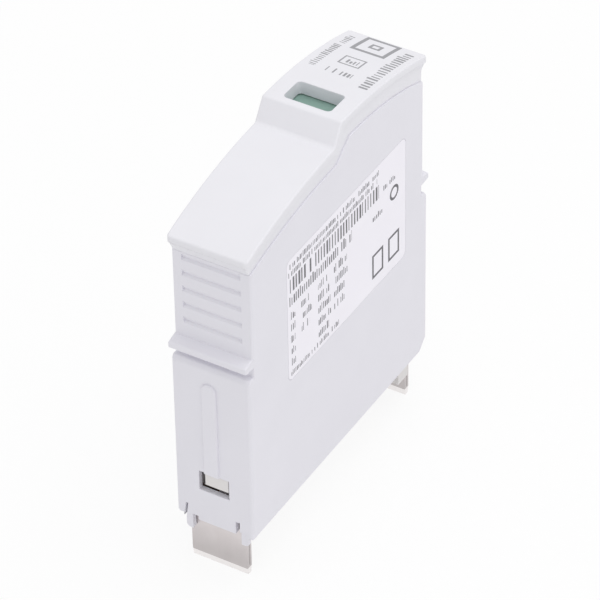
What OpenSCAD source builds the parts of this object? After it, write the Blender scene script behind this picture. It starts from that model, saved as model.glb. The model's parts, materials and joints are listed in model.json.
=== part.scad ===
// Slim plug-in module of a rail-mounted surge arrester.
// Units are millimetres. X is across the flat sides, Y along the length, Z is the pull-out direction.
// Z = 0 is at the tips of the contact blades.

/* [Case] */
// Width across the flat sides
case_w = 11.5; // [11.2:0.1:11.8]
// Length of the lower body between its end faces
body_l = 45.4; // [45.0:0.1:46.0]
// Set-back of the finger grips behind the lower end faces
grip_in = 1.0; // [0.9:0.05:1.1]
// Thickness of the flat side walls
side_wall = 0.9; // [0.8:0.05:0.95]
// Thickness of the lower end walls
end_wall = 0.8; // [0.7:0.05:0.85]
// Thickness of the grip walls behind the grooves
grip_wall = 1.1; // [1.0:0.05:1.2]
// Height of the lower body up to its shoulder
shoulder_h = 26.25; // [26.0:0.05:26.4]
// Drop from the front lip's upper edge to the rim of the case
rim_drop = 2.65; // [2.6:0.05:2.7]
// Depth of the bevel on the edge of the shoulder
shoulder_bevel = 0.45; // [0.3:0.05:0.5]
// Height of the case's lower edge
edge_h = 0.3; // [0.2:0.05:0.4]
// Bevel at the lower rear corners
foot_bevel = 1.6; // [1.0:0.1:1.8]

/* [Finger grips] */
// Number of grooves on each grip
groove_count = 5; // [3:1:5]
// Distance from groove to groove
groove_pitch = 2.53; // [2.4:0.01:2.6]
// Height of one groove
groove_h = 1.05; // [0.8:0.05:1.2]
// Depth of one groove
groove_deep = 0.38; // [0.25:0.01:0.4]
// Length of the grooves across the face
groove_w = 8.6; // [8.0:0.1:9.0]
// Height of the upper edge of the top groove
groove_top_h = 43.2; // [43.1:0.05:43.2]
// How far the finger ridge stands beyond the lower end face
ridge_out = 0.65; // [0.5:0.05:0.8]
// Height of the ridge's lower edge at the tip
ridge_h = 28.55; // [28.4:0.05:28.7]
// Thickness of the ridge at its tip
ridge_t = 0.95; // [0.8:0.05:1.0]

/* [Catch] */
// Width of the catch window
catch_w = 4.5; // [4.0:0.1:5.0]
// Height of the catch window
catch_h = 3.15; // [3.0:0.05:3.4]
// Lower edge of the catch window
catch_z = 5.75; // [5.6:0.05:5.9]
// Width of the carrier's tongue in the catch window
tongue_w = 3.45; // [3.0:0.05:3.6]
// Height of the tongue
tongue_h = 1.95; // [1.8:0.05:2.1]
// Set-back of the tongue's face behind the end face
tongue_in = 0.12; // [0.1:0.01:0.2]
// Width of the ramp rib above the catch window
ramp_w = 2.2; // [1.8:0.1:2.6]
// Height of the rib's round top
ramp_top_h = 24.2; // [22.0:0.1:24.6]
// How far the rib stands out
ramp_out = 0.35; // [0.2:0.05:0.45]
// Offset of the rib from the middle of the end face
ramp_x = 0.25; // [0:0.05:0.4]

/* [Feet] */
// Inner edge of the guard tab beside the low slot
near_tab_x = 3.4; // [3.35:0.05:3.5]
// Width of that tab
near_tab_w = 1.0; // [0.9:0.05:1.0]
// Inner edge of the guard tab beside the high slot
far_tab_x = 3.7; // [3.65:0.05:3.8]
// Width of that tab
far_tab_w = 1.2; // [1.1:0.05:1.25]
// Reach of the guard tabs below the blades' roots
tab_reach = 1.55; // [1.3:0.05:1.7]
// Width of the low slot
near_slot_w = 0.85; // [0.7:0.05:0.9]
// Top of the low slot
near_slot_h = 0.9; // [0.8:0.05:1.2]
// Width of the high slot
far_slot_w = 0.6; // [0.5:0.05:0.65]
// Top of the high slot
far_slot_h = 2.4; // [2.0:0.05:2.6]
// Width of the slit beside the corner post
slit_w = 0.3; // [0.2:0.05:0.35]
// Top of the slit
slit_h = 2.5; // [2.0:0.1:2.8]
// Set-back of the heels
heel_in = 0.35; // [0.25:0.05:0.4]
// Upper edge of the heels
heel_h = 0.85; // [0.7:0.05:1.0]

/* [Cap] */
// How far the cap's flanks stand in from the case sides
flank_in = 0.25; // [0.2:0.05:0.4]
// How far the brim around the top stands out over the case sides
brim_out = 0.1; // [0.05:0.01:0.12]
// Thickness of the brim
brim_t = 1.1; // [1.0:0.05:1.2]
// How far the cap's ends stand in from the grips
neck_in = 0.05; // [0:0.01:0.1]
// Fall of the front lip's underside towards the neck
front_fall = 1.8; // [1.6:0.05:1.85]
// Fall of the rear lip's underside towards the neck
rear_fall = 0.7; // [0.5:0.05:1.0]
// Gap of the joint between cap and case
joint_gap = 0.04; // [0.04:0.01:0.1]
// Height of the band of cap seen above the case in front of the step
band_front = 3.1; // [3.0:0.05:3.2]
// Height of the band of cap seen above the case behind the step
band_rear = 3.6; // [3.5:0.05:3.7]
// Height of the lower half of the top at the foot of the step
foot_h = 49.5; // [49.4:0.05:49.6]
// Height of the crown of the raised half
crown_h = 52.5; // [52.4:0.05:52.6]
// Height of the front lip's upper edge
front_lip_h = 46.0; // [45.95:0.05:46.1]
// Height of the rear lip's upper edge
rear_lip_h = 49.0; // [48.95:0.05:49.05]
// How far the lips stand beyond the grips
lip_out = 0.95; // [0.8:0.05:1.1]
// Thickness of the front lip at its edge
front_lip_t = 0.8; // [0.7:0.05:0.9]
// Thickness of the rear lip at its edge
rear_lip_t = 1.15; // [1.1:0.05:1.3]
// Thickness of the cap's top wall
top_wall = 1.0; // [0.9:0.05:1.0]
// Width of the status window
window_w = 6.9; // [6.2:0.1:7.0]
// Length of the status window
window_l = 4.1; // [3.6:0.1:4.1]
// Middle of the status window along the length
window_y = 3.87; // [3.8:0.01:3.95]
// Depth of the status window's shaft
window_deep = 2.1; // [2.0:0.05:2.2]

/* [Contacts] */
// Reach of the contact blades below the case
blade_reach = 7.2; // [6.5:0.1:7.5]
// Width of the contact blades
blade_w = 8.4; // [8.0:0.1:8.4]
// Thickness of a folded blade
blade_t = 1.1; // [1.0:0.05:1.1]
// Thickness of the sheet metal
sheet = 0.5; // [0.4:0.05:0.5]
// Front blade's outer face behind the front end face
front_blade_in = 0.9; // [0.9:0.05:1.0]
// Rear blade's outer face behind the rear end face
rear_blade_in = 1.9; // [1.8:0.05:1.9]
// Height of the bevelled lead-in
lead_in = 1.1; // [0.8:0.1:1.2]
// Depth of the bevelled lead-in on each face
lead_deep = 0.2; // [0.15:0.05:0.3]
// Reach of the guards beside the rear blade's root
guard_reach = 3.0; // [2.6:0.1:3.2]
// Inner edge of those guards
guard_x = 3.4; // [3.3:0.1:3.6]

/* [Varistor and trip] */
// Room between the varistor block and the upright rear strap
block_room = 2.2; // [2.1:0.1:3.0]
// Thickness of the varistor block
block_t = 4.8; // [4.6:0.1:4.8]
// Travel of the slider when it trips
trip = 4.6; // [4.4:0.1:4.6]
// Angle through which the contact arm lifts
arm_turn = 8.3; // [7.8:0.1:8.4]
// Running clearance of the slider
run = 0.2; // [0.15:0.05:0.25]

/* [Label] */
// Length of the label
label_l = 30.2; // [28:0.1:31]
// Height of the label
label_h = 19.5; // [18:0.1:20]
// Middle of the label along the length
label_y = 2.0; // [1.5:0.1:2.5]
// Lower edge of the label
label_z = 20.0; // [19.5:0.1:20.5]
// Thickness of the label
label_t = 0.1; // [0.08:0.01:0.12]
// Gap around the label in its recess
label_gap = 0.05; // [0.04:0.01:0.1]

/* [Hidden] */
$fn = 48;
fit = 0.05;
label_set = 0.02;
tab_round = 0.7;
groove_low = 0.72;
half_w = case_w / 2;
half_l = body_l / 2;
grip_y = half_l - grip_in;
notch_y = grip_y - 0.3;
tip_y = half_l + ridge_out;
lip_y = grip_y + lip_out;
neck_y = grip_y - neck_in;
in_x = half_w - side_wall;
low_y = half_l - end_wall;
top_y = grip_y - grip_wall;
front_rim_h = front_lip_h - rim_drop;
shoulder_rise = 0.65;
cavity_low = shoulder_h - 1.05;
cavity_high = shoulder_h - 0.25;

// Arcs of the top and of the joint line, as circles through a crown and an end
function arc_r(run_y, drop) = (run_y * run_y + drop * drop) / (2 * drop);
crown_y = 1.0;
step_run = 1.95;
foot_y = -1.2;
front_r = arc_r(lip_y, foot_h - front_lip_h);
rear_r = arc_r(lip_y - crown_y, crown_h - rear_lip_h);
joint_front_h = foot_h - band_front;
joint_rear_h = crown_h - band_rear;
joint_rear_y = 2.5;
joint_foot_y = -0.4;
joint_step_run = 3.2;
joint_front_r = arc_r(grip_y, joint_front_h - front_rim_h);
joint_rear_r = 54.4;

// Stack across the width, from the carrier's back plate to the slider's cam plate
plate_x = -in_x + 0.9;
film = 0.1;
elec_a_x = plate_x + fit;
sold_a_x = elec_a_x + sheet + fit;
coat_a_x = sold_a_x + film + fit;
block_x = coat_a_x + film + fit;
coat_b_x = block_x + block_t + fit;
sold_b_x = coat_b_x + film + fit;
elec_b_x = sold_b_x + film + fit;
cam_x = elec_b_x + sheet + 0.25;
cam_t = 0.65;
contact_y = half_l - rear_blade_in - blade_t;
strap_room = 2.5;
arm_root_y = contact_y - strap_room;
arm_z = 37.0;
block_l = 2 * (arm_root_y - block_room);
block_z = 3.5;
block_drop = 3.5;
block_h = arm_z - block_drop - block_z;
block_mid = block_z + block_h / 2;
rim_t = 0.55;
plate_in = 2.0;
plate_l = block_l - 2 * plate_in;
plate_h = block_h - 2 * plate_in;
coat_grow = 0.5;
foot_l = 4;
foot_end = -plate_l / 2 + 1 + foot_l;
strap_z = 2.2;
blade_top = 4.2;
fold_gap = 0.12;
strap_end_x = -0.9;

// Trip mechanism
arm_t = 0.4;
arm_w = 2.9;
arm_x = -0.5;
arm_tip_y = -2.0;
lug_y = -1.4;
lug_l = 0.6;
arm_lift = (arm_root_y - lug_y) * sin(arm_turn);
solder_t = 0.2;
tab_top = arm_z - fit - solder_t - fit;
tab_l = 3.6;
rail_top = 41.2;
rail_h = 2.0;
deck_z = rail_top + run;
deck_t = 1.4;
deck_front = -9.0;
flag_gap = 0.15;
flag_h = crown_h - window_deep - flag_gap;
flag_t = 0.8;
flag_front = 1.5;
stem_y = 5.6;
stem_l = 1.3;
marker_t = 0.4;
marker_gap = 0.4;
marker_side = 0.3;
hollow_x = 4.2;
flag_x = hollow_x - fit - marker_side - run;
spring_z = 38.2;
spring_r = 1.6;
wire_r = 0.22;
carrier_t = 0.75;
wall_set = 0.4;
floor_gap = 0.15;
floor_z = 0.5;
floor_t = 1.1;
guard_t = 2.6;
rear_wall_y = contact_y - wall_set;
front_wall_y = -top_y + floor_gap + carrier_t;
skirt_gap = 0.15;
skirt_wall = 0.9;

// Extrudes a profile drawn in Y and Z from one X to another, above the blades
module slab(x0, x1) {
    translate([x0, 0, blade_reach])
    rotate([90, 0, 90])
    linear_extrude(height = x1 - x0)
    children();
}

// A block from one corner to the other, above the blades
module bar(a, b) {
    translate([a[0], a[1], a[2] + blade_reach])
    cube([b[0] - a[0], b[1] - a[1], b[2] - a[2]]);
}

// A rectangle with round corners, centred
module rounded(w, l, r) {
    square([w - 2 * r, l], center = true);
    square([w, l - 2 * r], center = true);
    for (i = [-1, 1], j = [-1, 1])
        translate([i * (w / 2 - r), j * (l / 2 - r)])
        circle(r = r);
}

// Area below two arcs joined by a slanted step
module stepped(y1, h1, r1, y2, h2, r2, step_y, run_y, inset) {
    lean = run_y / (h2 - h1);
    intersection() {
        translate([y1, h1 - r1])
        circle(r = r1 - inset, $fn = 180);
        translate([-body_l, h1 / 2])
        square([body_l + 4, h1]);
    }
    intersection() {
        translate([y2, h2 - r2])
        circle(r = r2 - inset, $fn = 180);
        translate([step_y + inset * 1.2, h1])
        polygon([[-10 * lean, -10], [6 * lean, 6], [body_l, 6], [body_l, -10]]);
    }
}

module top_shape(inset) {
    stepped(0, foot_h, front_r, crown_y, crown_h, rear_r, foot_y, step_run, inset);
}

module joint_shape() {
    stepped(0, joint_front_h, joint_front_r, joint_rear_y, joint_rear_h, joint_rear_r,
        joint_foot_y, joint_step_run, 0);
}

// One half of the end profile, from the foot up to the grip
module end_half() {
    polygon([[0, edge_h], [half_l, edge_h], [half_l, shoulder_h],
        [half_l - shoulder_bevel, shoulder_h + shoulder_rise], [notch_y, shoulder_h + shoulder_rise],
        [notch_y, ridge_h - 0.15], [tip_y, ridge_h], [tip_y, ridge_h + ridge_t],
        [grip_y, ridge_h + ridge_t + 0.4], [grip_y, front_rim_h], [0, front_rim_h]]);
}

module case_outline() {
    end_half();
    mirror([1, 0]) end_half();
    intersection() {
        joint_shape();
        translate([-grip_y, front_rim_h - 3])
        square([2 * grip_y, crown_h]);
    }
}

module case_cavity() {
    polygon([[-low_y, -tab_reach], [low_y, -tab_reach], [low_y, cavity_low], [top_y, cavity_high],
        [top_y, 2 * crown_h], [-top_y, 2 * crown_h], [-top_y, cavity_high], [-low_y, cavity_low]]);
}

// Cuts on one grip face, drawn for the rear and mirrored for the front
module grip_grooves() {
    for (i = [0 : groove_count - 1])
        slab(-groove_w / 2, groove_w / 2)
        translate([grip_y, groove_top_h - i * groove_pitch])
        polygon([[0.5, 0], [0, 0], [-groove_deep, -groove_h * groove_low], [0, -groove_h], [0.5, -groove_h]]);
}

// Ramp rib with a round top on one end face
module ramp_rib() {
    translate([ramp_x, half_l - 0.3, blade_reach])
    rotate([-90, 0, 0])
    linear_extrude(height = ramp_out + 0.3)
    mirror([0, 1]) {
        translate([-ramp_w / 2, catch_z + catch_h])
        square([ramp_w, ramp_top_h - ramp_w / 2 - catch_z - catch_h]);
        translate([0, ramp_top_h - ramp_w / 2])
        circle(d = ramp_w);
    }
}

// Guard tab at one edge of a blade, with a round outer corner
module guard_tab(x, w) {
    translate([x, low_y, blade_reach])
    rotate([90, 0, 0])
    mirror([0, 0, 1])
    linear_extrude(height = end_wall) {
        translate([0, -tab_reach]) square([w - tab_round, tab_reach + heel_h]);
        translate([0, tab_round - tab_reach]) square([w, tab_reach + heel_h - tab_round]);
        translate([w - tab_round, tab_round - tab_reach]) circle(r = tab_round);
    }
}

module end_features() {
    ramp_rib();
    guard_tab(near_tab_x, near_tab_w);
    mirror([1, 0, 0]) guard_tab(far_tab_x, far_tab_w);
}

// A cut through one end wall from below
module end_slot(x0, x1, h) {
    bar([x0, low_y - 1, -tab_reach - 1], [x1, half_l + 1, h]);
}

// Slit that leans outwards beside the corner post
module post_slit() {
    foot_x = near_tab_x + near_tab_w;
    translate([0, low_y - 1, blade_reach])
    rotate([90, 0, 0])
    mirror([0, 0, 1])
    linear_extrude(height = end_wall + 2)
    polygon([[foot_x, 0], [foot_x + slit_w, 0], [foot_x, slit_h], [foot_x - slit_w, slit_h]]);
}

module heel(x0, x1) {
    bar([x0, half_l - heel_in, -tab_reach - 1], [x1, half_l + 1, heel_h]);
}

module end_cuts() {
    grip_grooves();
    bar([-catch_w / 2, low_y - 1, catch_z], [catch_w / 2, half_l + 1, catch_z + catch_h]);
    end_slot(near_tab_x - near_slot_w, near_tab_x, near_slot_h);
    end_slot(-far_tab_x, -far_tab_x + far_slot_w, far_slot_h);
    post_slit();
    heel(near_tab_x + near_tab_w + slit_w, half_w + 1);
    heel(-far_tab_x - far_tab_w, -far_tab_x);
}

// Bevel across the lower corner of the rear end, outside the guard tabs
module rear_bevel(x0, x1) {
    slab(x0, x1)
    translate([half_l, edge_h])
    polygon([[-foot_bevel, -0.01], [1, -0.01], [1, foot_bevel], [0, foot_bevel]]);
}

module label_plan(grow) {
    translate([label_y, label_z + label_h / 2])
    rounded(label_l + grow, label_h + grow, 1.0);
}

module case() {
    color("gainsboro")
    difference() {
        union() {
            slab(-half_w, half_w) case_outline();
            end_features();
            rotate([0, 0, 180]) end_features();
        }
        slab(-in_x, in_x) case_cavity();
        end_cuts();
        rotate([0, 0, 180]) end_cuts();
        rear_bevel(near_tab_x + near_tab_w, half_w + 1);
        rear_bevel(-half_w - 1, -far_tab_x - far_tab_w);
        slab(half_w - label_t - label_set, half_w + 1) label_plan(2 * label_gap);
    }
}

// End of the cap with a sloped underside
module lip(h, t, fall) {
    polygon([[lip_y, h - t], [lip_y, h + t], [0, h + t], [0, h - t - fall], [neck_y, h - t - fall]]);
}

module cap_outline() {
    intersection() {
        top_shape(0);
        union() {
            translate([-neck_y, front_rim_h]) square([2 * neck_y, crown_h]);
            mirror([1, 0]) lip(front_lip_h, front_lip_t, front_fall);
            lip(rear_lip_h, rear_lip_t, rear_fall);
        }
    }
}

module cap() {
    skirt_y = top_y - skirt_gap;
    skirt_x = in_x - skirt_gap;
    window_z = blade_reach + crown_h - window_deep;
    color("whitesmoke")
    difference() {
        union() {
            slab(-half_w - brim_out, half_w + brim_out)
            difference() {
                cap_outline();
                top_shape(brim_t);
            }
            slab(-half_w + flank_in, half_w - flank_in)
            difference() {
                cap_outline();
                translate([0, joint_gap]) case_outline();
            }
            slab(-skirt_x, skirt_x)
            intersection() {
                top_shape(0.3);
                translate([-skirt_y, rail_top + 2 * run]) square([2 * skirt_y, crown_h]);
            }
        }
        difference() {
            slab(-hollow_x, hollow_x)
            intersection() {
                top_shape(top_wall);
                translate([-skirt_y + skirt_wall, shoulder_h])
                square([2 * (skirt_y - skirt_wall), crown_h]);
            }
            translate([0, window_y, window_z])
            linear_extrude(height = 5)
            square([2 * hollow_x + 1, window_l + 1.4], center = true);
        }
        translate([0, window_y, blade_reach + rail_top])
        linear_extrude(height = crown_h)
        rounded(window_w, window_l, 0.6);
    }
}

// Tongue that reaches from a wall of the carrier into the front catch window
module tongue(wall_y) {
    top = catch_z + catch_h - 2 * fit;
    right = catch_w / 2 - floor_gap;
    bar([right - tongue_w, -half_l + tongue_in, top - tongue_h], [right, wall_y, top]);
}

module carrier() {
    cx = in_x - 0.1;
    front_y = front_wall_y;
    rear_y = rear_wall_y;
    floor_rear = contact_y - floor_gap;
    color("wheat")
    difference() {
        union() {
            bar([-cx, front_y - carrier_t, floor_z], [plate_x, rear_y + carrier_t - wall_set, rail_top]);
            bar([-cx, -half_l + front_blade_in + blade_t + floor_gap, floor_z],
                [cx, floor_rear, floor_z + floor_t]);
            bar([-cx, front_y - carrier_t, floor_z], [cx, front_y, rail_top - 0.2]);
            bar([-cx, rear_y - wall_set, floor_z], [cx, rear_y + carrier_t - wall_set, rail_top - 0.2]);
            tongue(front_y);
            rotate([0, 0, 180]) tongue(wall_set - rear_y);
            for (x = [-cx, guard_x])
                bar([x, floor_rear - guard_t, -guard_reach], [x + cx - guard_x, floor_rear, floor_z + 0.1]);
            bar([plate_x - 0.1, -10, rail_top - rail_h], [plate_x + 1.25, 13, rail_top]);
            translate([0, front_y - 0.1, spring_z + blade_reach])
            rotate([-90, 0, 0])
            cylinder(r = 1.1, h = 2.6);
        }
        bar([elec_a_x - run, -half_l, strap_z - 0.3], [strap_end_x + run, front_y + 0.1, blade_top + 0.3]);
        bar([arm_x - 0.3, rear_y - 1, strap_z - 0.3], [arm_x + arm_w + 0.3, half_l, blade_top + 0.3]);
    }
}

module side_label() {
    color("white")
    slab(half_w - label_t, half_w) label_plan(0);
}

module varistor() {
    color("dimgray")
    bar([block_x, -block_l / 2, block_z], [block_x + block_t, block_l / 2, block_z + block_h]);
}

module varistor_rim() {
    y = block_l / 2 + fit;
    z = block_h / 2 + fit;
    color("royalblue")
    difference() {
        bar([block_x, -y - rim_t, block_mid - z - rim_t],
            [block_x + block_t, y + rim_t, block_mid + z + rim_t]);
        bar([block_x - 1, -y, block_mid - z], [block_x + block_t + 1, y, block_mid + z]);
    }
}

// A sheet on one face of the varistor, as large as the electrode plates or larger
module face_sheet(x, t, grow) {
    y = plate_l / 2 + grow;
    z = plate_h / 2 + grow;
    bar([x, -y, block_mid - z], [x + t, y, block_mid + z]);
}

module coat_a() {
    color("silver") face_sheet(coat_a_x, film, coat_grow);
}

module coat_b() {
    color("silver") face_sheet(coat_b_x, film, coat_grow);
}

module solder_a() {
    color("darkgray") face_sheet(sold_a_x, film, 0);
}

module solder_b() {
    color("darkgray") face_sheet(sold_b_x, film, 0);
}

module electrode_a() {
    color("peru") {
        face_sheet(elec_a_x, sheet, 0);
        bar([elec_a_x, foot_end - foot_l, strap_z + sheet + fit],
            [elec_a_x + sheet, foot_end, block_mid - plate_h / 2 + 1]);
    }
}

module electrode_b() {
    color("peru") {
        face_sheet(elec_b_x, sheet, 0);
        bar([elec_b_x, -tab_l / 2, block_mid + plate_h / 2 - 1], [elec_b_x + sheet, tab_l / 2, tab_top]);
        bar([arm_x, -tab_l / 2, tab_top - sheet], [elec_b_x + sheet, tab_l / 2, tab_top]);
    }
}

module thermal_solder() {
    color("lightgray")
    bar([arm_x + 0.3, -1.3, tab_top + fit], [arm_x + arm_w - 0.3, 1.3, tab_top + fit + solder_t]);
}

module disconnect_arm() {
    color("goldenrod") {
        bar([arm_x, arm_tip_y, arm_z], [arm_x + arm_w, arm_root_y, arm_z + arm_t]);
        bar([arm_x + arm_w - 0.1, lug_y - lug_l / 2, arm_z],
            [cam_x + cam_t + 0.2, lug_y + lug_l / 2, arm_z + arm_t]);
    }
}

module strap_front() {
    y0 = -half_l + front_blade_in + blade_t + fit;
    color("peru") {
        bar([elec_a_x, y0, strap_z], [strap_end_x, foot_end, strap_z + sheet]);
        bar([elec_a_x, y0, strap_z], [strap_end_x, y0 + sheet, blade_top]);
    }
}

module strap_rear() {
    y1 = contact_y - fit;
    up_y = arm_root_y + 0.3;
    color("peru") {
        bar([arm_x, up_y, strap_z], [arm_x + arm_w, up_y + sheet, arm_z + arm_t]);
        bar([arm_x, up_y, strap_z], [arm_x + arm_w, y1, strap_z + sheet]);
        bar([arm_x, y1 - sheet, strap_z], [arm_x + arm_w, y1, blade_top]);
    }
}

// Folded sheet with a bevelled lead-in, drawn in Y and Z with its outer face at Y = 0
module blade_profile() {
    leaf = (blade_t - fold_gap) / 2;
    difference() {
        polygon([[0, lead_in - blade_reach], [lead_deep, -blade_reach], [blade_t - lead_deep, -blade_reach],
            [blade_t, lead_in - blade_reach], [blade_t, blade_top], [0, blade_top]]);
        translate([leaf, lead_in + 0.3 - blade_reach]) square([fold_gap, blade_reach + blade_top]);
    }
}

module blade_front() {
    color("lightslategray")
    slab(-blade_w / 2, blade_w / 2)
    translate([-half_l + front_blade_in, 0])
    blade_profile();
}

module blade_rear() {
    color("lightslategray")
    slab(-blade_w / 2, blade_w / 2)
    translate([contact_y, 0])
    blade_profile();
}

// Cam slot that lifts the arm's lug as the slider travels
module cam_slot() {
    high = 0.62;
    slab(cam_x - 1, cam_x + cam_t + 1)
    translate([lug_y, arm_z + arm_t / 2])
    polygon([[0.75, -high - 0.3], [0.75, high - 0.3], [0, high], [-trip - 0.75, arm_lift + high + 0.4],
        [-trip - 0.75, arm_lift - high + 0.4], [0, -high]]);
}

module slider() {
    rail_x = plate_x + 1.25;
    color("seagreen")
    difference() {
        union() {
            bar([-3.4, deck_front, deck_z], [cam_x + cam_t, 7, deck_z + deck_t]);
            bar([-2.2, deck_front, spring_z - 2], [2.2, deck_front + 1, deck_z + 0.1]);
            bar([cam_x, deck_front + 1, arm_z - 1.1], [cam_x + cam_t, 0.4, deck_z + 0.1]);
            bar([rail_x + run, deck_front + 1, rail_top - rail_h - run - 0.8],
                [rail_x + run + 0.8, -1, deck_z + 0.1]);
            bar([plate_x + run, deck_front + 1, rail_top - rail_h - run - 0.8],
                [rail_x + run + 0.8, -1, rail_top - rail_h - run]);
            bar([-2.5, stem_y, deck_z + deck_t - 0.1], [2.5, stem_y + stem_l, flag_h - 0.1]);
            bar([-flag_x, flag_front, flag_h - flag_t], [flag_x, stem_y + stem_l, flag_h]);
            translate([0, deck_front - 1.4, spring_z + blade_reach])
            rotate([-90, 0, 0])
            cylinder(r = 1.1, h = 1.5);
        }
        cam_slot();
    }
}

// Round-wire helix as one closed mesh, along Y
module trip_spring() {
    turns = 7;
    sides = 6;
    steps = 14 * turns;
    y0 = front_wall_y + 0.1 + wire_r;
    len = deck_front - 0.1 - wire_r - y0;
    pts = [for (i = [0 : steps], j = [0 : sides - 1])
        let (a = 360 * turns * i / steps, b = 360 * j / sides, r = spring_r + wire_r * cos(b))
        [r * cos(a), y0 + len * i / steps + wire_r * sin(b), r * sin(a) + spring_z + blade_reach]];
    walls = [for (i = [0 : steps - 1], j = [0 : sides - 1])
        let (k = (j + 1) % sides)
        [i * sides + j, i * sides + k, (i + 1) * sides + k, (i + 1) * sides + j]];
    start = [for (j = [0 : sides - 1]) sides - 1 - j];
    finish = [for (j = [0 : sides - 1]) steps * sides + j];
    color("slategray")
    polyhedron(points = pts, faces = concat(walls, [start, finish]), convexity = 10);
}

module fault_marker() {
    z0 = flag_h - flag_t - marker_gap - marker_t;
    x1 = hollow_x - fit;
    y1 = stem_y - marker_gap;
    color("firebrick") {
        bar([-x1, flag_front - 0.1, z0], [x1, y1, z0 + marker_t]);
        bar([-x1, flag_front - 0.1, z0], [-x1 + marker_side, y1, flag_h + flag_gap / 2]);
        bar([x1 - marker_side, flag_front - 0.1, z0], [x1, y1, flag_h + flag_gap / 2]);
    }
}

case();
cap();
carrier();
side_label();
varistor();
varistor_rim();
coat_a();
coat_b();
solder_a();
solder_b();
electrode_a();
electrode_b();
thermal_solder();
disconnect_arm();
strap_front();
strap_rear();
blade_front();
blade_rear();
slider();
trip_spring();
fault_marker();
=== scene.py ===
"""Looks of a slim plug-in surge arrester module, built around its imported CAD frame."""
import json
import math
from collections import namedtuple
from functools import reduce

import bmesh
import bpy
from mathutils import Matrix, Vector

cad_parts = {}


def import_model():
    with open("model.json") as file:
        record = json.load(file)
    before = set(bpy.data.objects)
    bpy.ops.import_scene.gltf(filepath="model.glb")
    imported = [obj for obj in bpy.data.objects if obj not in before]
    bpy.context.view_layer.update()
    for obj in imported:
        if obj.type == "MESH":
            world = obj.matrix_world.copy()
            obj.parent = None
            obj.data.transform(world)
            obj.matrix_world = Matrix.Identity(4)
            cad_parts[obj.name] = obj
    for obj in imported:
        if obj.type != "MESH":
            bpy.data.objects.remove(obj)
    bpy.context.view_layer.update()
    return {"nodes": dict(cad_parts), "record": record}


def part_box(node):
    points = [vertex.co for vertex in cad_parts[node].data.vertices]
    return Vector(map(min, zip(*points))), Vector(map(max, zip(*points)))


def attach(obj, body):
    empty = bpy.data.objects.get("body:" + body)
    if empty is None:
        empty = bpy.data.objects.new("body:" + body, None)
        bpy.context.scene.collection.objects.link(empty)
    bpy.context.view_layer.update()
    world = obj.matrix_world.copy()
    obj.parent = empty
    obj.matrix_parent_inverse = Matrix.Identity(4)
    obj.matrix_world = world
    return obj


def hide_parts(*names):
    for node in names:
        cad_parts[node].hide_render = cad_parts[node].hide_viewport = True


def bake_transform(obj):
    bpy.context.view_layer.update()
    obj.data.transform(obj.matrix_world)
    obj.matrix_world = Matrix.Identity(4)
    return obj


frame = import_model()

MM = 0.001
bpy.context.scene.view_settings.view_transform = "Standard"


# Sizes in millimetres: boxes from the frame, and the CAD model's own steps from them

def box_mm(node):
    """Lowest and highest corner of a CAD node, in millimetres."""
    low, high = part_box(node)
    return Vector(low) / MM, Vector(high) / MM


CASE_LOW, CASE_HIGH = box_mm("case")
CAP_HIGH = box_mm("cap")[1]
LABEL_LOW, LABEL_HIGH = box_mm("side_label")
SPRING_LOW, SPRING_HIGH = box_mm("trip_spring")
BLADE_TOP = box_mm("blade_front")[1].z

TAB_REACH = 1.55
RIDGE_OUT = 0.65
GRIP_IN = 1.0
RIB_OUT = 0.35
SIDE_WALL = 0.9
END_WALL = 0.8
FLANK_IN = 0.25
NECK_IN = 0.05
HOLLOW_X = 4.2

CASE_FOOT = CASE_LOW.z + TAB_REACH
HALF_W = CASE_HIGH.x
END_Y = CASE_HIGH.y - RIDGE_OUT
GRIP_Y = END_Y - GRIP_IN
FLANK_X = HALF_W - FLANK_IN
CAP_END_Y = GRIP_Y - NECK_IN


# Materials

class Wire:
    """One value in a material's nodes. Arithmetic on it adds Math nodes."""

    def __init__(self, tree, socket):
        self.tree = tree
        self.socket = socket

    def node(self, kind, settings=None, sockets=None, out=0):
        """Adds a node: its settings are set first, then its sockets get values or links."""
        made = self.tree.nodes.new(kind)
        for key, value in (settings or {}).items():
            setattr(made, key, value)
        for key, value in (sockets or {}).items():
            if isinstance(value, Wire):
                self.tree.links.new(value.socket, made.inputs[key])
            else:
                made.inputs[key].default_value = value
        return Wire(self.tree, made.outputs[out])

    def maths(self, operation, first, second=0.0):
        return self.node("ShaderNodeMath", {"operation": operation}, {0: first, 1: second})

    def __add__(self, other):
        return self.maths("ADD", self, other)

    def __sub__(self, other):
        return self.maths("SUBTRACT", self, other)

    def __rsub__(self, other):
        return self.maths("SUBTRACT", other, self)

    def __mul__(self, other):
        return self.maths("MULTIPLY", self, other)

    def __truediv__(self, other):
        return self.maths("DIVIDE", self, other)

    def __gt__(self, other):
        return self.maths("GREATER_THAN", self, other)

    def __lt__(self, other):
        return self.maths("LESS_THAN", self, other)

    __radd__ = __add__
    __rmul__ = __mul__

    def floor(self):
        return self.maths("FLOOR", self)

    def power(self, other):
        return self.maths("POWER", self, other)

    def either(self, other):
        return self.maths("MAXIMUM", self, other)

    def between(self, low, high):
        return (self > low) * (self < high)

    def mix(self, first, second):
        """A colour that goes from first to second as this value goes from 0 to 1."""
        return self.node("ShaderNodeMix", {"data_type": "RGBA"}, {0: self, 6: first, 7: second}, out=2)


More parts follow.
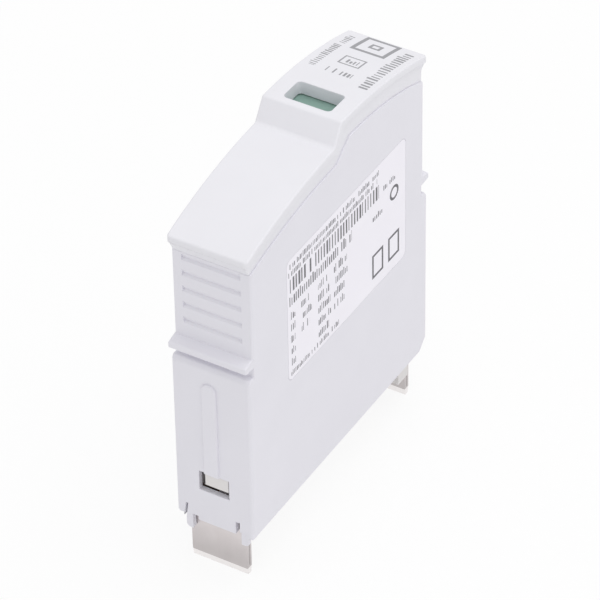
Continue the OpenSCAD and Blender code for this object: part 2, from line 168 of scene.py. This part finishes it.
class Finish(Wire):
    """A material with one Principled shader, whose sockets are fed by name."""

    def __init__(self, name, **constants):
        self.material = bpy.data.materials.new(name)
        self.material.use_nodes = True
        super().__init__(self.material.node_tree, None)
        self.shader = self.tree.nodes["Principled BSDF"]
        for key, value in constants.items():
            self.shader.inputs[key.replace("_", " ")].default_value = value
        self.place = self.node("ShaderNodeTexCoord", out="Object")

    def feed(self, name, wire):
        self.tree.links.new(wire.socket, self.shader.inputs[name])

    def mm(self, axis):
        """One object coordinate, in millimetres."""
        return self.node("ShaderNodeSeparateXYZ", None, {0: self.place}, out=axis) * (1 / MM)

    def noise(self, size_mm, stretch=(1, 1, 1), detail=3.0):
        """Noise with features of about this size."""
        scale = [s / (size_mm * MM) for s in stretch]
        mapped = self.node("ShaderNodeMapping", None, {0: self.place, 3: scale})
        return self.node("ShaderNodeTexNoise", None, {"Vector": mapped, "Scale": 1.0, "Detail": detail})

    def chance(self, seed):
        """A steady random number for each whole value of seed."""
        return self.node("ShaderNodeTexWhiteNoise", {"noise_dimensions": "1D"}, {"W": seed})

    def bump(self, height, depth_mm, strength):
        sockets = {"Strength": strength, "Distance": depth_mm * MM, "Height": height}
        self.feed("Normal", self.node("ShaderNodeBump", None, sockets))


def rgba(red, green, blue):
    return (red, green, blue, 1.0)


def shade(colour, factor):
    return (*[c * factor for c in colour[:3]], 1.0)


# Print: plain ticks, bars and outlines, placed in millimetres

Ticks = namedtuple("Ticks", "start end low high rows pitch seed gaps least", defaults=(0.14, 0.34))
Bars = namedtuple("Bars", "start end low high pitch seed")
Outline = namedtuple("Outline", "start end low high line")
Ring = namedtuple("Ring", "along across radius line")

SHORTEST_ROW = 0.72
ROW_STRIDE = 61.0
TICK_WIDTH, TICK_WIDTH_SPREAD = 0.30, 0.35
TICK_HEIGHT_SPREAD = 0.34
BAR_WIDTH, BAR_WIDTH_SPREAD = 0.22, 0.45
BARS_LEFT_OUT = 0.10

TOP_SIDE_TICKS = (
    Ticks(10.2, 21.6, 3.75, 5.0, 1, 0.50, 3.0, 0.12, 0.60),
    Ticks(8.6, 22.2, -4.9, -3.1, 1, 0.66, 8.0, 0.04, 0.62),
)
TOP_MIDDLE_TICKS = (
    Ticks(-2.2, 2.6, 9.9, 11.3, 1, 0.52, 21.0, 0.04, 0.60),
    Ticks(-1.1, 0.9, 13.3, 14.7, 1, 0.5, 5.0, 0.0, 0.45),
)
TOP_OUTLINES = (
    Outline(-1.85, 1.3, 12.7, 15.1, 0.22),
    Outline(-2.7, 2.4, 17.3, 22.2, 0.55),
    Outline(-1.0, 0.7, 19.0, 20.5, 0.4),
)
LABEL_TICKS = (
    Ticks(0.4, 23.5, 16.7, 19.1, 2, 0.36, 2.0, 0.12, 0.42),
    Ticks(0.5, 18.5, 12.0, 13.9, 1, 0.52, 31.0, 0.08, 0.58),
    Ticks(0.6, 2.2, 2.2, 11.6, 5, 0.42, 41.0, 0.0),
    Ticks(2.9, 6.2, 6.0, 11.9, 3, 0.34, 51.0),
    Ticks(7.6, 10.8, 2.0, 11.8, 5, 0.42, 61.0),
    Ticks(11.5, 15.0, 3.8, 11.8, 4, 0.40, 71.0),
    Ticks(0.6, 14.0, 0.6, 1.9, 1, 0.34, 81.0),
    Ticks(24.3, 29.0, 14.5, 15.7, 1, 0.40, 91.0),
    Ticks(21.6, 24.6, 11.2, 12.8, 1, 0.45, 95.0, 0.0),
)
LABEL_BARS = Bars(0.5, 23.2, 14.1, 16.3, 0.70, 11.0)
LABEL_RING = Ring(27.2, 12.4, 1.15, 0.40)
LABEL_OUTLINES = (
    Outline(21.4, 24.3, 1.8, 5.7, 0.40),
    Outline(25.6, 28.5, 1.8, 5.7, 0.40),
)


def ticks(finish, along, across, t):
    """Upright ticks in rows.

    gaps is the share of ticks left out, and least the share of a row's height that the shortest fills.
    """
    line = (across - t.low) / ((t.high - t.low) / t.rows)
    row = line.floor()
    cell = along / t.pitch
    index = cell.floor()
    chance = finish.chance(index + row * ROW_STRIDE + t.seed)
    reach = SHORTEST_ROW + (1 - SHORTEST_ROW) * finish.chance(row * 3.7 + t.seed)
    row_end = t.start + (t.end - t.start) * reach
    area = along.between(t.start, row_end) * across.between(t.low, t.high)
    stroke = TICK_WIDTH + TICK_WIDTH_SPREAD * finish.chance(index * 1.7 + row + t.seed)
    tall = (line - row) < t.least + TICK_HEIGHT_SPREAD * chance
    return area * tall * ((cell - index) < stroke) * (chance > t.gaps)


def bars(finish, along, across, b):
    """Upright bars of mixed width with a gap after each, in no code's order."""
    cell = along / b.pitch
    index = cell.floor()
    chance = finish.chance(index + b.seed)
    dark = ((cell - index) < BAR_WIDTH + BAR_WIDTH_SPREAD * chance) * (chance > BARS_LEFT_OUT)
    return along.between(b.start, b.end) * across.between(b.low, b.high) * dark


def outline(along, across, o):
    """A plain rectangular outline."""
    outer = along.between(o.start, o.end) * across.between(o.low, o.high)
    inner = (along.between(o.start + o.line, o.end - o.line)
             * across.between(o.low + o.line, o.high - o.line))
    return outer - inner


def ring(along, across, r):
    """A plain ring."""
    far = ((along - r.along).power(2.0) + (across - r.across).power(2.0)).power(0.5)
    return far.between(r.radius - r.line, r.radius)


def top_print(finish):
    """Grey marks on the raised half of the cap, in the places where such caps are printed."""
    x, y = finish.mm(0), finish.mm(1)
    normal = finish.node("ShaderNodeTexCoord", out="Normal")
    up = finish.node("ShaderNodeSeparateXYZ", None, {0: normal}, out=2) > 0.5
    marks = [ticks(finish, y, 0.0 - x, row) for row in TOP_SIDE_TICKS]
    marks += [ticks(finish, x, y, row) for row in TOP_MIDDLE_TICKS]
    marks += [outline(x, y, mark) for mark in TOP_OUTLINES]
    return reduce(Wire.either, marks) * up


def label_print(finish):
    """Dark marks on the label, measured from its lower front corner."""
    u, v = finish.mm(1) - LABEL_LOW.y, finish.mm(2) - LABEL_LOW.z
    marks = [ticks(finish, u, v, row) for row in LABEL_TICKS]
    marks += [outline(u, v, mark) for mark in LABEL_OUTLINES]
    marks += [bars(finish, u, v, LABEL_BARS), ring(u, v, LABEL_RING)]
    return reduce(Wire.either, marks)


# Finishes

def moulded(name, colour, roughness=0.46, ink=None):
    """Satin moulded plastic: eroded-mould grain, faint cloudiness, and print where ink says so."""
    finish = Finish(name, IOR=1.5)
    cloud = finish.noise(7.0)
    grain = finish.noise(0.16, detail=4.0)
    colour_wire = cloud.mix(shade(colour, 0.975), shade(colour, 1.02))
    if ink:
        colour_wire = ink(finish).mix(colour_wire, rgba(0.30, 0.30, 0.32))
    finish.feed("Base Color", colour_wire)
    finish.feed("Roughness", roughness - 0.05 + 0.10 * grain)
    finish.bump(grain, 0.012, 0.35)
    return finish.material


def label_film():
    """White paper film with a faint sheen."""
    finish = Finish("label_film", IOR=1.45)
    cloud = finish.noise(4.0)
    fibre = finish.noise(0.25, detail=4.0)
    paper = cloud.mix(rgba(0.87, 0.85, 0.91), rgba(0.90, 0.88, 0.94))
    worn = 0.80 + 0.20 * finish.noise(1.2)
    finish.feed("Base Color", (label_print(finish) * worn).mix(paper, rgba(0.035, 0.033, 0.045)))
    finish.feed("Roughness", 0.34 + 0.10 * fibre)
    finish.bump(fibre, 0.004, 0.3)
    return finish.material


def tinned_sheet():
    """Dull tinned sheet, rolled lengthwise, with painted shade that darkens it towards the tip and a
    painted highlight on the lead-in.
    """
    lead_in_top = 1.12
    # Painted shade: from this height down, over this span, the sheet's colour darkens in place of the
    # floor's shadow reflected in the metal.
    painted_shade_from, painted_shade_over = 6.2, 4.0
    finish = Finish("tinned_sheet", Metallic=1.0)
    rolled = finish.noise(0.5, (1, 1, 0.06), 5.0)
    stain = finish.noise(3.0)
    height = finish.mm(2)
    lead_in_highlight = height < lead_in_top
    # Painted shade: the sheet's colour blends into the darker tone towards the tip, standing in for the
    # reflected shadow of the floor.
    sheet_tone = stain.mix(rgba(0.63, 0.585, 0.585), rgba(0.75, 0.705, 0.705))
    painted_shade_tone = stain.mix(rgba(0.51, 0.475, 0.475), rgba(0.61, 0.575, 0.57))
    sheet_with_painted_shade = ((painted_shade_from - height) / painted_shade_over).mix(sheet_tone, painted_shade_tone)
    # Painted highlight: the lead-in gets a near-white colour in place of the light that its bevel
    # catches.
    finish.feed("Base Color", lead_in_highlight.mix(sheet_with_painted_shade, rgba(0.90, 0.87, 0.865)))
    finish.feed("Roughness", 0.30 + 0.18 * rolled)
    finish.bump(rolled, 0.006, 0.4)
    return finish.material


def metal(name, colour, roughness, streak=(1, 1, 1)):
    """Sheet or wire with faint streaks and a patchy tarnish."""
    finish = Finish(name, Metallic=1.0)
    streaks = finish.noise(0.4, streak, 4.0)
    finish.feed("Base Color", finish.noise(2.5).mix(shade(colour, 0.82), colour))
    finish.feed("Roughness", roughness + 0.15 * streaks)
    finish.bump(streaks, 0.005, 0.3)
    return finish.material


def sintered(name, colour):
    """Pressed and fired ceramic with a grainy face."""
    finish = Finish(name)
    grain = finish.noise(0.3, detail=6.0)
    finish.feed("Base Color", grain.mix(shade(colour, 0.7), shade(colour, 1.2)))
    finish.feed("Roughness", 0.6 + 0.2 * grain)
    finish.bump(grain, 0.02, 0.5)
    return finish.material


ROLLED = (1, 0.08, 1)
FINISHES = {
    "case_plastic": moulded("moulded_case", rgba(0.772, 0.762, 0.816)),
    "cap_plastic": moulded("moulded_cap", rgba(0.785, 0.78, 0.82), ink=top_print),
    "carrier_plastic": moulded("cream_moulding", rgba(0.745, 0.725, 0.72), 0.5),
    "label_film": label_film(),
    "zinc_oxide": sintered("fired_block", rgba(0.08, 0.08, 0.085)),
    "rim_coat": moulded("dipped_rim", rgba(0.03, 0.07, 0.30), 0.35),
    "silver_coat": metal("fired_silver", rgba(0.75, 0.75, 0.73), 0.45),
    "solder": metal("dull_solder", rgba(0.52, 0.52, 0.54), 0.40),
    "copper": metal("copper_sheet", rgba(0.72, 0.38, 0.24), 0.28, ROLLED),
    "spring_bronze": metal("bronze_strip", rgba(0.68, 0.46, 0.22), 0.26, ROLLED),
    "tinned_copper": tinned_sheet(),
    "indicator_green": moulded("green_flag", rgba(0.25, 0.385, 0.335), 0.42),
    "spring_steel": metal("spring_wire", rgba(0.55, 0.55, 0.57), 0.25),
    "indicator_red": moulded("red_marker", rgba(0.55, 0.03, 0.03), 0.42),
}


# Modelling helpers

SHARP_ANGLE = math.radians(25)
SMOOTH_ANGLE = math.radians(35)
FLAT_ANGLE = math.radians(0.5)
DOUBLES = 0.002 * MM
SLIVERS = 0.02 * MM
CUT_ROOM = 1e-7
FULL_WIDTH = 10.0
SKIN = 0.02


def deselect():
    if bpy.context.object and bpy.context.object.mode != "OBJECT":
        bpy.ops.object.mode_set(mode="OBJECT")
    bpy.ops.object.select_all(action="DESELECT")


def activate(piece):
    deselect()
    piece.select_set(True)
    bpy.context.view_layer.objects.active = piece


def dress(piece, slot, body):
    """Gives a piece its finish and the body that it rides on."""
    piece.data.materials.clear()
    piece.data.materials.append(FINISHES[slot])
    if body:
        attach(piece, body)


def merged_copy(node, name):
    """A copy of a CAD node as a new piece, with its loose triangles joined into flat faces."""
    piece = bpy.data.objects.new(name, frame["nodes"][node].data.copy())
    bpy.context.collection.objects.link(piece)
    activate(piece)
    bpy.ops.object.mode_set(mode="EDIT")
    bpy.ops.mesh.select_all(action="SELECT")
    bpy.ops.mesh.remove_doubles(threshold=DOUBLES)
    bpy.ops.mesh.dissolve_limited(angle_limit=FLAT_ANGLE)
    bpy.ops.object.mode_set(mode="OBJECT")
    bpy.ops.mesh.customdata_custom_splitnormals_clear()
    return piece


def mark_sharp_edges():
    """Smooth shading on the active piece, with a sharp line where faces meet at a wide angle."""
    bpy.ops.object.shade_smooth()
    bpy.ops.object.mode_set(mode="EDIT")
    bpy.ops.mesh.select_mode(type="EDGE")
    bpy.ops.mesh.select_all(action="DESELECT")
    bpy.ops.mesh.edges_select_sharp(sharpness=SMOOTH_ANGLE)
    bpy.ops.mesh.mark_sharp()
    bpy.ops.object.mode_set(mode="OBJECT")


def round_edges(piece, radius_of, widest, segments=3):
    """Rounds the sharp edges of a piece.

    radius_of gives a radius in millimetres for an edge's two ends, from whether the edge is convex
    and whether one of its faces looks up. widest is the largest radius that it gives.
    """
    activate(piece)
    bpy.ops.object.mode_set(mode="EDIT")
    mesh = bmesh.from_edit_mesh(piece.data)
    radii = {}
    for edge in mesh.edges:
        if len(edge.link_faces) == 2 and edge.calc_face_angle() > SHARP_ANGLE:
            first, second = (v.co / MM for v in edge.verts)
            upward = any(face.normal.z > 0.5 for face in edge.link_faces)
            radius = radius_of(first, second, edge.is_convex, upward)
            if radius:
                radii.setdefault(radius, []).append(edge.index)
    for radius, indices in radii.items():
        bpy.ops.mesh.select_all(action="DESELECT")
        mesh = bmesh.from_edit_mesh(piece.data)
        mesh.edges.ensure_lookup_table()
        for index in indices:
            mesh.edges[index].select_set(True)
        bpy.ops.transform.edge_bevelweight(value=radius / widest)
    bpy.ops.object.mode_set(mode="OBJECT")
    bevel = piece.modifiers.new("rounding", "BEVEL")
    bevel.limit_method = "WEIGHT"
    bevel.width = widest * MM
    bevel.segments = segments
    bevel.use_clamp_overlap = False
    bpy.ops.object.modifier_apply(modifier=bevel.name)
    mark_sharp_edges()
    flat = piece.modifiers.new("flat_faces", "WEIGHTED_NORMAL")
    flat.keep_sharp = True
    flat.weight = 100
    bpy.ops.object.modifier_apply(modifier=flat.name)
    return piece


def near(value, target, room=0.03):
    return abs(value - target) < room


def both(first, second, test):
    return test(first) and test(second)


def is_upright(a, b):
    return near(a.x, b.x) and near(a.y, b.y)


def is_crosswise(a, b):
    """Whether an edge runs straight across the whole width."""
    return near(a.y, b.y) and near(a.z, b.z) and abs(a.x - b.x) > FULL_WIDTH


# Case

CORNER_ROUND = 0.40
END_ROUND = 0.20
TOP_SIDE_ROUND = 0.09
LOW_SIDE_ROUND = 0.14
RIDGE_ROUND = 0.22
RIM_ROUND = 0.02
RIB_ROUND = 0.25
FINE_ROUND = 0.06
LONG_CORNER = 3.0
RECESS_ROOM = 0.2
END_ZONE = GRIP_Y - 0.4
RIM_ZONE = CASE_FOOT + 42.9
RIB_ZONE = CASE_FOOT + 26.0


def in_cavity(p):
    return abs(p.x) < HALF_W - SIDE_WALL + SKIN and abs(p.y) < END_Y - END_WALL + SKIN


def in_label_recess(p):
    return (p.x > HALF_W - RECESS_ROOM
            and LABEL_LOW.y - RECESS_ROOM < p.y < LABEL_HIGH.y + RECESS_ROOM
            and LABEL_LOW.z - RECESS_ROOM < p.z < LABEL_HIGH.z + RECESS_ROOM)


def on_rib(p):
    return near(abs(p.y), END_Y + RIB_OUT) and p.z < RIB_ZONE


def case_radius(a, b, convex, upward):
    """Rounding of the case's edges: full on the long corners, fine on grooves and windows."""
    if both(a, b, in_cavity) or both(a, b, in_label_recess) or not convex:
        return 0
    on_side = both(a, b, lambda p: near(abs(p.x), HALF_W))
    at_end = both(a, b, lambda p: abs(p.y) > END_ZONE)
    if on_side and at_end and is_upright(a, b) and abs(a.z - b.z) > LONG_CORNER:
        return CORNER_ROUND
    if on_side and at_end:
        return END_ROUND
    if on_side:
        return TOP_SIDE_ROUND if upward else LOW_SIDE_ROUND
    if is_crosswise(a, b) and at_end:
        return RIM_ROUND if a.z > RIM_ZONE else RIDGE_ROUND
    return RIB_ROUND if both(a, b, on_rib) else FINE_ROUND


case_shell = round_edges(merged_copy("case", "case_shell"), case_radius, CORNER_ROUND)
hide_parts("case")
dress(case_shell, "case_plastic", "module")


# Cap

STEP_ROUND = 0.45
LIP_ROUND = 0.26
BRIM_TOP_ROUND = 0.28
BRIM_LOW_ROUND = 0.20
CUT_TOP_ROUND = 0.24
CUT_SIDE_ROUND = 0.16
FLANK_ROUND = 0.05
JOINT_ROUND = 0.02
CAP_FINE_ROUND = 0.10
JOINT_DROP = 0.037
FRONT_JOINT = CASE_FOOT + 43.6
REAR_JOINT = CASE_FOOT + 46.3
SKIRT_ZONE = CASE_FOOT + 43.0
WINDOW_ZONE = CAP_HIGH.z - 1.0


def in_hollow(p):
    return abs(p.x) < HOLLOW_X + 0.05 and p.z < WINDOW_ZONE


def on_cut_corner(p):
    """Whether a point lies on one of the slanted faces that cut off the brim's corners."""
    return near(abs(p.x) + abs(p.y), FLANK_X + CAP_HIGH.y)


def cap_radius(a, b, convex, upward):
    """Rounding of the cap's edges: soft at the brim and the step, fine at the window and the joint."""
    if both(a, b, in_hollow) or both(a, b, lambda p: p.z < SKIRT_ZONE):
        return 0
    if both(a, b, on_cut_corner) and a.y * b.y > 0 and a.x * b.x > 0:
        if upward:
            return CUT_TOP_ROUND
        return CUT_SIDE_ROUND if is_upright(a, b) else CAP_FINE_ROUND
    if is_crosswise(a, b):
        joint = FRONT_JOINT if a.y < 0 else REAR_JOINT
        if near(abs(a.y), CAP_END_Y) and a.z < joint:
            return JOINT_ROUND
        return LIP_ROUND if convex else STEP_ROUND
    if not convex:
        return 0
    if both(a, b, lambda p: near(abs(p.x), CAP_HIGH.x)):
        return BRIM_TOP_ROUND if upward else BRIM_LOW_ROUND
    return FLANK_ROUND if both(a, b, lambda p: near(abs(p.x), FLANK_X)) else CAP_FINE_ROUND


def cut_corners(piece):
    """Cuts the brim's four upright corners back to the flanks, for the rounding to soften."""
    activate(piece)
    bpy.ops.object.mode_set(mode="EDIT")
    for side in (-1, 1):
        for end in (-1, 1):
            corner = (side * FLANK_X * MM, end * CAP_HIGH.y * MM, 0)
            bpy.ops.mesh.select_all(action="SELECT")
            bpy.ops.mesh.bisect(plane_co=corner, plane_no=(side, end, 0), use_fill=True,
                                clear_outer=True, threshold=CUT_ROOM)
    bpy.ops.mesh.select_all(action="SELECT")
    bpy.ops.mesh.remove_doubles(threshold=SLIVERS)
    bpy.ops.object.mode_set(mode="OBJECT")
    return piece


def close_joint(piece):
    """Lowers the ring of faces over the case's rim, so that the joint shows as a hairline."""
    activate(piece)
    bpy.ops.object.mode_set(mode="EDIT")
    bpy.ops.mesh.select_mode(type="FACE")
    bpy.ops.mesh.select_all(action="DESELECT")
    mesh = bmesh.from_edit_mesh(piece.data)
    for face in mesh.faces:
        widest = max(abs(v.co.x) for v in face.verts) / MM
        if face.normal.z < -0.5 and near(widest, FLANK_X):
            face.select_set(True)
    bpy.ops.transform.translate(value=(0, 0, -JOINT_DROP * MM))
    bpy.ops.object.mode_set(mode="OBJECT")
    return piece


cap_copy = close_joint(cut_corners(merged_copy("cap", "cap_shell")))
cap_shell = round_edges(cap_copy, cap_radius, STEP_ROUND)
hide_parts("cap")
dress(cap_shell, "cap_plastic", "module")


# Contact blades

BLADE_ROUND = 0.10


def blade_radius(a, b, convex, upward):
    """Rounding of a blade's edges, all but those of its top."""
    return BLADE_ROUND if convex and a.z < BLADE_TOP - 0.1 else 0


for blade_node in ("blade_front", "blade_rear"):
    contact = merged_copy(blade_node, blade_node.replace("blade", "contact"))
    round_edges(contact, blade_radius, BLADE_ROUND, segments=2)
    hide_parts(blade_node)
    dress(contact, "tinned_copper", "module")


# Trip spring

WIRE_R = 0.22
TURNS = 7
STEPS_PER_TURN = 32
WIRE_SIDES = 10
WIRE_SMOOTH = math.radians(60)
SPRING_MIDDLE = (SPRING_LOW + SPRING_HIGH) / 2


def trip_spring():
    """Round wire wound along Y between the carrier's front wall and the slider."""
    coil = (SPRING_HIGH.x - SPRING_LOW.x) / 2 - WIRE_R
    length = SPRING_HIGH.y - SPRING_LOW.y - 2 * WIRE_R
    deselect()
    bpy.ops.mesh.primitive_circle_add(vertices=WIRE_SIDES, radius=WIRE_R * MM,
                                      location=(0, 0, SPRING_MIDDLE.z * MM))
    piece = bpy.context.active_object
    piece.name = "coil_spring"
    bpy.ops.object.mode_set(mode="EDIT")
    bpy.ops.transform.translate(value=(coil * MM, (SPRING_LOW.y + WIRE_R) * MM, 0))
    bpy.ops.object.mode_set(mode="OBJECT")
    winding = piece.modifiers.new("winding", "SCREW")
    winding.axis = "Y"
    winding.angle = TURNS * math.tau
    winding.screw_offset = length * MM
    winding.steps = winding.render_steps = STEPS_PER_TURN * TURNS
    bpy.ops.object.modifier_apply(modifier=winding.name)
    bpy.ops.object.mode_set(mode="EDIT")
    bpy.ops.mesh.select_all(action="SELECT")
    bpy.ops.mesh.fill_holes(sides=WIRE_SIDES)
    bpy.ops.mesh.normals_make_consistent(inside=False)
    bpy.ops.object.mode_set(mode="OBJECT")
    bpy.ops.object.transform_apply(location=True, rotation=True, scale=True)
    bpy.ops.object.shade_smooth_by_angle(angle=WIRE_SMOOTH)
    return piece


spring = trip_spring()
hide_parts("trip_spring")
dress(spring, "spring_steel", None)
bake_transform(spring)


# CAD nodes that stay as they are

REPLACED = {"case", "cap", "blade_front", "blade_rear", "trip_spring"}
for part in frame["record"]["subparts"]:
    if part["node"] not in REPLACED:
        node = frame["nodes"][part["node"]]
        node.data.materials.clear()
        node.data.materials.append(FINISHES[part["material_slot"]])


# Studio, in metres and watts

FLOOR_SIZE = 4.0
FLOOR_GLOW = 0.88
SKY_LIGHT = 0.79
SOFTBOX_SIZE = 0.5
CAMERA_ANGLES = (31.19, 39.19, -1.03)
CAMERA_TARGET = Vector((11.98, -20.31, 48.43)) * MM
CAMERA_DISTANCE = 533.0 * MM
CAMERA_LENS = 260.3


def shows_white(source):
    """1 for rays from the camera, and for those that gloss or glass sends on; 0 for light."""
    rays = ("Is Camera Ray", "Is Glossy Ray", "Is Transmission Ray")
    return reduce(Wire.either, [source.node("ShaderNodeLightPath", out=ray) for ray in rays])


def floor():
    """A pale floor that keeps the object's shadow."""
    deselect()
    bpy.ops.mesh.primitive_plane_add(size=FLOOR_SIZE, location=(0, 0, 0))
    plane = bpy.context.active_object
    plane.name = "studio_floor"
    finish = Finish("studio_floor", Base_Color=rgba(0.90, 0.90, 0.90), Roughness=0.9,
                    Specular_IOR_Level=0.0)
    white = finish.node("ShaderNodeEmission", None, {"Color": rgba(1, 1, 1), "Strength": 1.0})
    mixed = finish.node("ShaderNodeMixShader", None,
                        {0: shows_white(finish) * FLOOR_GLOW,
                         1: Wire(finish.tree, finish.shader.outputs[0]), 2: white})
    finish.tree.links.new(mixed.socket, finish.tree.nodes["Material Output"].inputs["Surface"])
    plane.data.materials.append(finish.material)


def world():
    """A white sky, a little dimmer as a light than it looks."""
    sky = bpy.data.worlds.new("studio")
    bpy.context.scene.world = sky
    sky.use_nodes = True
    background = sky.node_tree.nodes["Background"]
    background.inputs["Color"].default_value = rgba(1, 1, 1)
    strength = SKY_LIGHT + (1 - SKY_LIGHT) * shows_white(Wire(sky.node_tree, None))
    sky.node_tree.links.new(strength.socket, background.inputs["Strength"])


def softbox(name, place, target, power):
    """A square lamp that faces a point on the object."""
    lamp = bpy.data.lights.new(name, "AREA")
    lamp.shape = "SQUARE"
    lamp.size = SOFTBOX_SIZE
    lamp.energy = power
    holder = bpy.data.objects.new(name, lamp)
    bpy.context.collection.objects.link(holder)
    aim = Vector(target) - Vector(place)
    turn = aim.to_track_quat("-Z", "Y").to_matrix().to_4x4()
    holder.matrix_world = Matrix.Translation(place) @ turn


def camera():
    """A long lens from the front right, above the object."""
    azimuth, elevation, roll = (math.radians(angle) for angle in CAMERA_ANGLES)
    back = Vector((math.sin(azimuth) * math.cos(elevation), -math.cos(azimuth) * math.cos(elevation),
                   math.sin(elevation)))
    right = Vector((math.cos(azimuth), math.sin(azimuth), 0))
    up = back.cross(right)
    right, up = (right * math.cos(roll) + up * math.sin(roll),
                 up * math.cos(roll) - right * math.sin(roll))
    eye = bpy.data.objects.new("camera", bpy.data.cameras.new("camera"))
    bpy.context.collection.objects.link(eye)
    eye.data.sensor_width = 36.0
    eye.data.lens = CAMERA_LENS
    turn = Matrix((right, up, back)).transposed()
    eye.matrix_world = Matrix.Translation(CAMERA_TARGET + back * CAMERA_DISTANCE) @ turn.to_4x4()
    bpy.context.scene.camera = eye


floor()
world()
softbox("overhead", (0.15, 0.10, 0.75), (0, 0, 0.04), 1.50)
softbox("side", (0.70, -0.05, 0.30), (0, 0, 0.03), 0.27)
softbox("front", (0.25, -0.62, 0.30), (0, 0, 0.03), 0.27)
camera()
